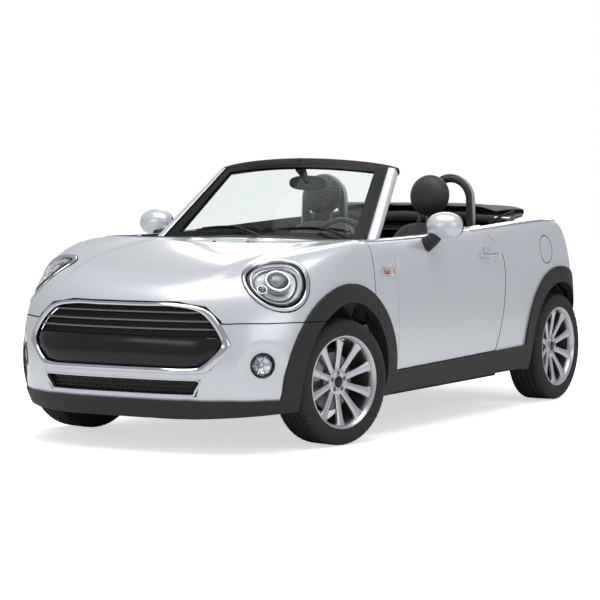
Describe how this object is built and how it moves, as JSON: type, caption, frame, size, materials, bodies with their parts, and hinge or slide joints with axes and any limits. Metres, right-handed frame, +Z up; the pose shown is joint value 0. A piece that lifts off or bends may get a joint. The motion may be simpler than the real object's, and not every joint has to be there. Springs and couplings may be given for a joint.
{
  "type": "convertible car",
  "caption": "Compact two-door soft-top convertible with hinged doors, bonnet, drop-down boot lid and fuel flap, steered front wheels and a folded fabric roof",
  "frame": {"origin": "centre of the footprint on the ground, halfway along the car", "axes": "+X towards the nose, +Y towards the car's left side, +Z up"},
  "size_m": [3.8462, 2.01, 1.41],
  "materials": {
    "body_paint": "metallic clear coat",
    "dark_plastic": "fine moulded grain",
    "bright_trim": "polished",
    "clear_glass": "clear",
    "red_lens": "clear red",
    "dark_metal": "satin black",
    "cast_metal": "as cast",
    "steel_pipe": "dull",
    "seat_leather": "fine grain",
    "top_fabric": "woven",
    "tyre_rubber": "matte",
    "wheel_alloy": "silver lacquer"
  },
  "bodies": {
    "shell": {"front_bumper": "body_paint", "front_lip": "dark_plastic", "grille_surround": "bright_trim", "grilles": "dark_plastic", "headlamps": "clear_glass", "fog_lamps": "clear_glass", "side_scuttles": "body_paint", "tail_lamps": "red_lens", "quarter_left": "body_paint", "quarter_right": "body_paint", "rear_deck": "body_paint", "rear_bumper": "body_paint", "arch_trims": "dark_plastic", "sills": "dark_plastic", "belt_strips": "bright_trim", "windscreen_frame": "body_paint", "windscreen": "clear_glass", "cowl": "dark_plastic", "bulkhead": "dark_metal", "floor_pan": "dark_metal", "wheelhouses": "dark_metal", "engine": "cast_metal", "radiator": "cast_metal", "fuel_tank": "dark_metal", "front_subframe": "dark_metal", "rear_axle": "dark_metal", "dashboard": "dark_plastic", "steering_column": "dark_plastic", "front_seats": "seat_leather", "rear_bench": "seat_leather", "roll_hoops": "seat_leather", "soft_top": "top_fabric", "wipers": "dark_plastic", "interior_mirror": "dark_plastic", "exhaust": "steel_pipe"},
    "bonnet_leaf": {"bonnet": "body_paint", "bonnet_arch_trims": "dark_plastic", "headlamp_rings": "body_paint"},
    "left_door": {"door_left": "body_paint", "door_brightwork_left": "bright_trim", "mirror_left": "body_paint"},
    "right_door": {"door_right": "body_paint", "door_brightwork_right": "bright_trim", "mirror_right": "body_paint"},
    "boot_leaf": {"boot_lid": "body_paint", "boot_handle": "bright_trim"},
    "flap_leaf": {"fuel_flap": "body_paint"},
    "left_knuckle": {"knuckle_left": "dark_metal"},
    "right_knuckle": {"knuckle_right": "dark_metal"},
    "hand_wheel": {"steering_wheel": "dark_plastic"},
    "front_left_wheel": {"tyre_front_left": "tyre_rubber", "rim_front_left": "wheel_alloy"},
    "front_right_wheel": {"tyre_front_right": "tyre_rubber", "rim_front_right": "wheel_alloy"},
    "rear_left_wheel": {"tyre_rear_left": "tyre_rubber", "rim_rear_left": "wheel_alloy"},
    "rear_right_wheel": {"tyre_rear_right": "tyre_rubber", "rim_rear_right": "wheel_alloy"}
  },
  "joints": [
    {"name": "bonnet_hinge", "type": "hinge", "parent": "shell", "child": "bonnet_leaf", "pos_m": [0.696, 0, 0.997], "axis": [0, -1, 0], "range_deg": [0, 50]},
    {"name": "left_door_hinge", "type": "hinge", "parent": "shell", "child": "left_door", "pos_m": [0.555, 0.79, 0.6], "axis": [0, 0, -1], "range_deg": [0, 70]},
    {"name": "right_door_hinge", "type": "hinge", "parent": "shell", "child": "right_door", "pos_m": [0.555, -0.79, 0.6], "axis": [0, 0, 1], "range_deg": [0, 70]},
    {"name": "boot_lid_hinge", "type": "hinge", "parent": "shell", "child": "boot_leaf", "pos_m": [-1.9275, 0, 0.5925], "axis": [0, -1, 0], "range_deg": [0, 90]},
    {"name": "fuel_flap_hinge", "type": "hinge", "parent": "shell", "child": "flap_leaf", "pos_m": [-1.1085, 0.852, 0.88], "axis": [0, 0, -1], "range_deg": [0, 90]},
    {"name": "left_steer", "type": "hinge", "parent": "shell", "child": "left_knuckle", "pos_m": [1.1405, 0.6955, 0.3], "axis": [0, 0, 1], "range_deg": [-23, 51]},
    {"name": "right_steer", "type": "hinge", "parent": "shell", "child": "right_knuckle", "pos_m": [1.1405, -0.6955, 0.3], "axis": [0, 0, 1], "range_deg": [-23, 51]},
    {"name": "steering_wheel_turn", "type": "hinge", "parent": "shell", "child": "hand_wheel", "pos_m": [0.262, 0.35, 0.915], "axis": [-0.9135, 0, 0.4067], "range_deg": [-322, 714]},
    {"name": "front_left_spin", "type": "hinge", "parent": "left_knuckle", "child": "front_left_wheel", "pos_m": [1.15381, 0.74887, 0.3106], "axis": [0.2419, 0.9703, 0], "continuous": true},
    {"name": "front_right_spin", "type": "hinge", "parent": "right_knuckle", "child": "front_right_wheel", "pos_m": [1.12719, -0.74887, 0.3106], "axis": [0.2419, 0.9703, 0], "continuous": true},
    {"name": "rear_left_spin", "type": "hinge", "parent": "shell", "child": "rear_left_wheel", "pos_m": [-1.3545, 0.7505, 0.3106], "axis": [0, 1, 0], "continuous": true},
    {"name": "rear_right_spin", "type": "hinge", "parent": "shell", "child": "rear_right_wheel", "pos_m": [-1.3545, -0.7505, 0.3106], "axis": [0, 1, 0], "continuous": true}
  ],
  "couplings": [
    {"joint": "right_steer", "follows": "left_steer", "ratio": 1},
    {"joint": "steering_wheel_turn", "follows": "left_steer", "ratio": 14}
  ]
}
